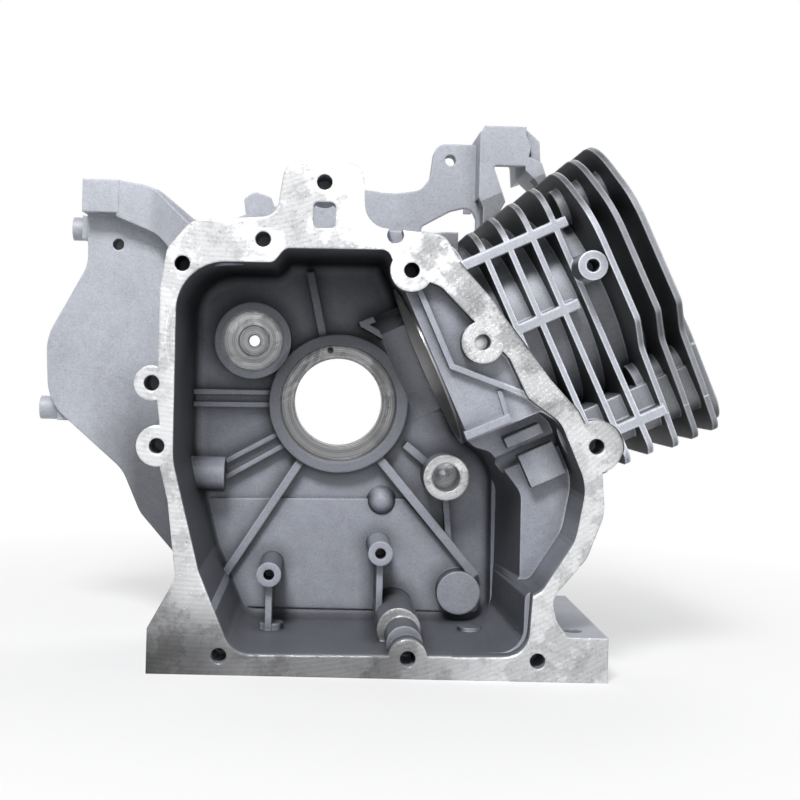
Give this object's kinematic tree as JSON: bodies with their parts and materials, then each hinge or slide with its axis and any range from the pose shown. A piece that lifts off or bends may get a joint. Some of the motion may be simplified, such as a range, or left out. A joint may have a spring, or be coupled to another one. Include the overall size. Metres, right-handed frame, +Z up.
{
  "type": "engine crankcase",
  "caption": "Cast crankcase and inclined finned cylinder block of a single-cylinder engine, open at the cover side, with machined bearing seats.",
  "frame": {"origin": "crank axis at the mouth of the main bearing seat", "axes": "+Y along the crank axis away from the open cover side, +Z up, +X towards the cylinder"},
  "size_m": [0.3776, 0.2215, 0.3035],
  "materials": {
    "crankcase": "as-cast with machined faces",
    "cylinder_liner": "honed"
  },
  "bodies": {
    "root": {"crankcase": "crankcase", "cylinder_liner": "cylinder_liner"}
  },
  "joints": []
}
